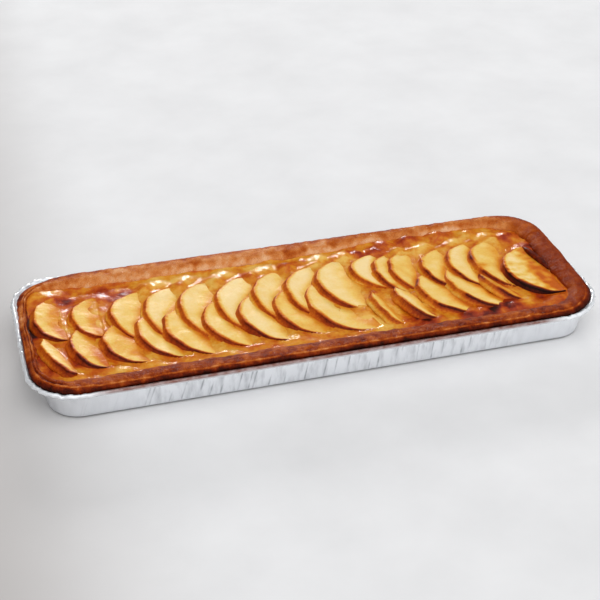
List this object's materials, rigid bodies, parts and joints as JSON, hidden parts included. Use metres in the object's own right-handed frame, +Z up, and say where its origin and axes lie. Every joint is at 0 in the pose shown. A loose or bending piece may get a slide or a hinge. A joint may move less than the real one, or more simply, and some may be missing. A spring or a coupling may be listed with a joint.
{
  "type": "apple tart",
  "caption": "Long apple tart in its foil baking tray: short-crust case, baked custard, and two rows of overlapping half-moon apple slices with browned edges.",
  "frame": {"origin": "middle of the tray's underside", "axes": "+X along the tart, +Y towards its far long side, +Z up"},
  "size_m": [0.35, 0.127, 0.0236],
  "materials": {
    "foil": "bright rolled foil",
    "pastry": "golden-brown baked crust, lightly glazed",
    "custard": "glossy golden custard",
    "apple": "pale cooked apple with browned edges, glazed"
  },
  "bodies": {
    "root": {"foil_tray": "foil", "pastry_case": "pastry", "custard_filling": "custard", "apple_slice_far_01": "apple", "apple_slice_far_02": "apple", "apple_slice_far_03": "apple", "apple_slice_far_04": "apple", "apple_slice_far_05": "apple", "apple_slice_far_06": "apple", "apple_slice_far_07": "apple", "apple_slice_far_08": "apple", "apple_slice_far_09": "apple", "apple_slice_far_10": "apple", "apple_slice_far_11": "apple", "apple_slice_far_12": "apple", "apple_slice_far_13": "apple", "apple_slice_far_14": "apple", "apple_slice_far_15": "apple", "apple_slice_far_16": "apple", "apple_slice_near_01": "apple", "apple_slice_near_02": "apple", "apple_slice_near_03": "apple", "apple_slice_near_04": "apple", "apple_slice_near_05": "apple", "apple_slice_near_06": "apple", "apple_slice_near_07": "apple", "apple_slice_near_08": "apple", "apple_slice_near_09": "apple", "apple_slice_near_10": "apple", "apple_slice_near_11": "apple", "apple_slice_near_12": "apple", "apple_slice_near_13": "apple", "apple_slice_near_14": "apple"}
  },
  "joints": []
}
